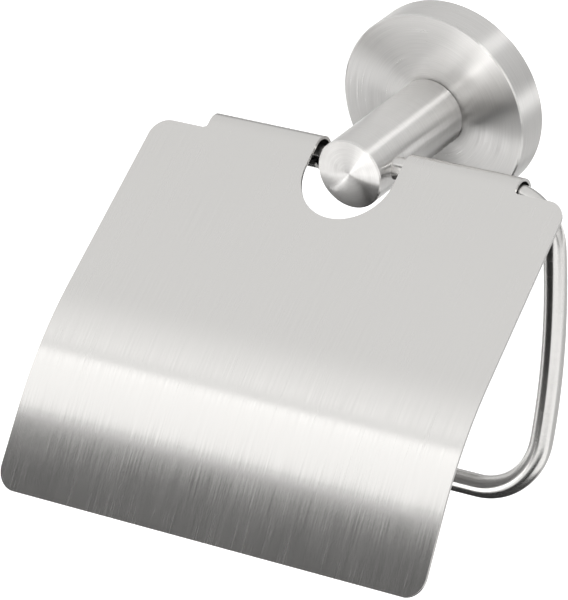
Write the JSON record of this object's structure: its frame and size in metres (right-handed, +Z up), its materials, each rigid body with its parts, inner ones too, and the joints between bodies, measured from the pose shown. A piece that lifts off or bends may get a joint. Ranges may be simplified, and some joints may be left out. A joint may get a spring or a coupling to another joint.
{
  "type": "toilet paper holder",
  "caption": "Wall-mounted toilet paper holder: round flange and post, bent rod with an open roll arm, and a hinged sheet lid with curled hinge tabs.",
  "frame": {"origin": "on the wall plane, at the axis of the round flange and post", "axes": "+Z up, +Y into the wall, -Y towards the user, +X to the right seen from the front"},
  "size_m": [0.1266, 0.1451, 0.1034],
  "materials": {
    "lid_steel": "straight brushing down the lid",
    "turned_steel": "concentric turned brushing",
    "rod_steel": "fine satin along the rod",
    "zinc_plated_steel": "dull bright zinc",
    "black_nylon": "moulded, matt"
  },
  "bodies": {
    "root": {"wall_plate": "zinc_plated_steel", "wall_screw_1": "zinc_plated_steel", "wall_screw_2": "zinc_plated_steel", "flange": "turned_steel", "flange_grub_screw": "zinc_plated_steel", "post": "turned_steel", "post_screw": "zinc_plated_steel", "post_washer": "zinc_plated_steel", "roll_rod": "rod_steel", "rod_set_screw": "zinc_plated_steel", "hinge_sleeve": "black_nylon"},
    "lid": {"lid": "lid_steel"}
  },
  "joints": [
    {"name": "lid_hinge", "type": "hinge", "parent": "root", "child": "lid", "pos_m": [0, -0.0423, 0], "axis": [1, 0, 0], "range_deg": [-135, 38]}
  ]
}
